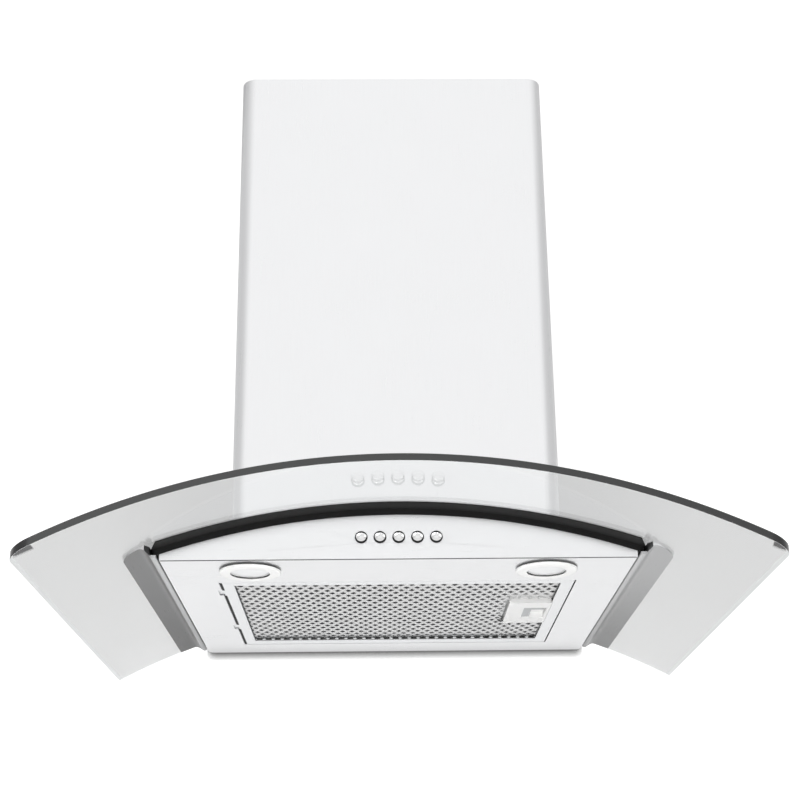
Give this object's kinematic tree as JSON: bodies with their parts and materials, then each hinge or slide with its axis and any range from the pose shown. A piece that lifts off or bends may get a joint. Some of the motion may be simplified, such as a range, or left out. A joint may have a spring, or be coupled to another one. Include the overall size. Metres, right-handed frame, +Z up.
{
  "type": "range hood",
  "caption": "Wall-mounted extractor hood with an arched glass canopy, a slim tray with hinged grease filter and lamps, and a telescopic square chimney.",
  "frame": {"origin": "centre of the four wall screw holes, on the wall", "axes": "+X to the right along the wall for someone facing the hood, +Y into the wall, +Z up"},
  "size_m": [0.6, 0.5, 0.5922],
  "materials": {
    "glass": "clear, polished edges",
    "rubber": "matt black",
    "satin_steel": "bright satin sheet",
    "galvanised_steel": "plain galvanised sheet",
    "aluminium": "bare, slightly dull",
    "chrome": "polished",
    "white_plastic": "glossy",
    "frosted_lens": "frosted",
    "grey_plastic": "satin grey",
    "black_plastic": "matt",
    "enamelled_steel": "black enamel"
  },
  "bodies": {
    "hood": {"back_plate": "galvanised_steel", "blower_box": "galvanised_steel", "bottom_panel": "satin_steel", "cable_gland": "black_plastic", "canopy_shell": "satin_steel", "capacitor": "aluminium", "chimney_lower": "satin_steel", "clip_pads": "rubber", "clip_screws": "galvanised_steel", "damper_pin": "galvanised_steel", "fan_motor": "enamelled_steel", "front_fascia": "satin_steel", "glass_canopy": "glass", "glass_clips": "galvanised_steel", "glass_rail_left": "satin_steel", "glass_rail_right": "satin_steel", "glass_seal": "rubber", "lamp_bezel_left": "white_plastic", "lamp_bezel_right": "white_plastic", "lamp_driver": "black_plastic", "lamp_lens_left": "frosted_lens", "lamp_lens_right": "frosted_lens", "lamp_module_left": "black_plastic", "lamp_module_right": "black_plastic", "motor_bracket": "galvanised_steel", "motor_bushes": "rubber", "outlet_collar": "black_plastic", "scroll_left": "galvanised_steel", "scroll_right": "galvanised_steel", "switch_bank": "black_plastic", "terminal_box": "black_plastic", "terminal_lid": "black_plastic"},
    "button_1": {"button_1": "chrome"},
    "button_2": {"button_2": "chrome"},
    "button_3": {"button_3": "chrome"},
    "button_4": {"button_4": "chrome"},
    "button_5": {"button_5": "chrome"},
    "filter": {"filter_frame": "aluminium", "filter_tabs": "aluminium", "filter_mesh_lower": "aluminium", "filter_mesh_upper": "aluminium", "filter_pack": "aluminium", "latch_housing": "grey_plastic"},
    "latch": {"latch_slider": "grey_plastic"},
    "fan": {"impeller": "black_plastic", "motor_shaft": "galvanised_steel"},
    "flap_front": {"damper_flap_front": "black_plastic"},
    "flap_rear": {"damper_flap_rear": "black_plastic"},
    "chimney_top": {"chimney_upper": "satin_steel", "upper_bracket": "galvanised_steel"}
  },
  "joints": [
    {"name": "button_1_press", "type": "slide", "parent": "hood", "child": "button_1", "axis": [0, 1, 0], "range_m": [0, 0.003], "stiffness_N_per_m": 300, "springref_m": -0.002},
    {"name": "button_2_press", "type": "slide", "parent": "hood", "child": "button_2", "axis": [0, 1, 0], "range_m": [0, 0.003], "stiffness_N_per_m": 300, "springref_m": -0.002},
    {"name": "button_3_press", "type": "slide", "parent": "hood", "child": "button_3", "axis": [0, 1, 0], "range_m": [0, 0.003], "stiffness_N_per_m": 300, "springref_m": -0.002},
    {"name": "button_4_press", "type": "slide", "parent": "hood", "child": "button_4", "axis": [0, 1, 0], "range_m": [0, 0.003], "stiffness_N_per_m": 300, "springref_m": -0.002},
    {"name": "button_5_press", "type": "slide", "parent": "hood", "child": "button_5", "axis": [0, 1, 0], "range_m": [0, 0.003], "stiffness_N_per_m": 300, "springref_m": -0.002},
    {"name": "filter_hinge", "type": "hinge", "parent": "hood", "child": "filter", "pos_m": [-0.1632, -0.171, -0.14795], "axis": [0, 1, 0], "range_deg": [0, 75]},
    {"name": "latch_slide", "type": "slide", "parent": "filter", "child": "latch", "axis": [-1, 0, 0], "range_m": [0, 0.006], "stiffness_N_per_m": 300, "springref_m": -0.003},
    {"name": "fan_spin", "type": "hinge", "parent": "hood", "child": "fan", "pos_m": [0, -0.092, -0.002], "axis": [1, 0, 0], "continuous": true},
    {"name": "flap_front_swing", "type": "hinge", "parent": "hood", "child": "flap_front", "pos_m": [0, -0.13, 0.1293], "axis": [-1, 0, 0], "range_deg": [0, 75]},
    {"name": "flap_rear_swing", "type": "hinge", "parent": "hood", "child": "flap_rear", "pos_m": [0, -0.13, 0.1293], "axis": [1, 0, 0], "range_deg": [0, 75]},
    {"name": "chimney_extend", "type": "slide", "parent": "hood", "child": "chimney_top", "axis": [0, 0, 1], "range_m": [0, 0.3]}
  ]
}
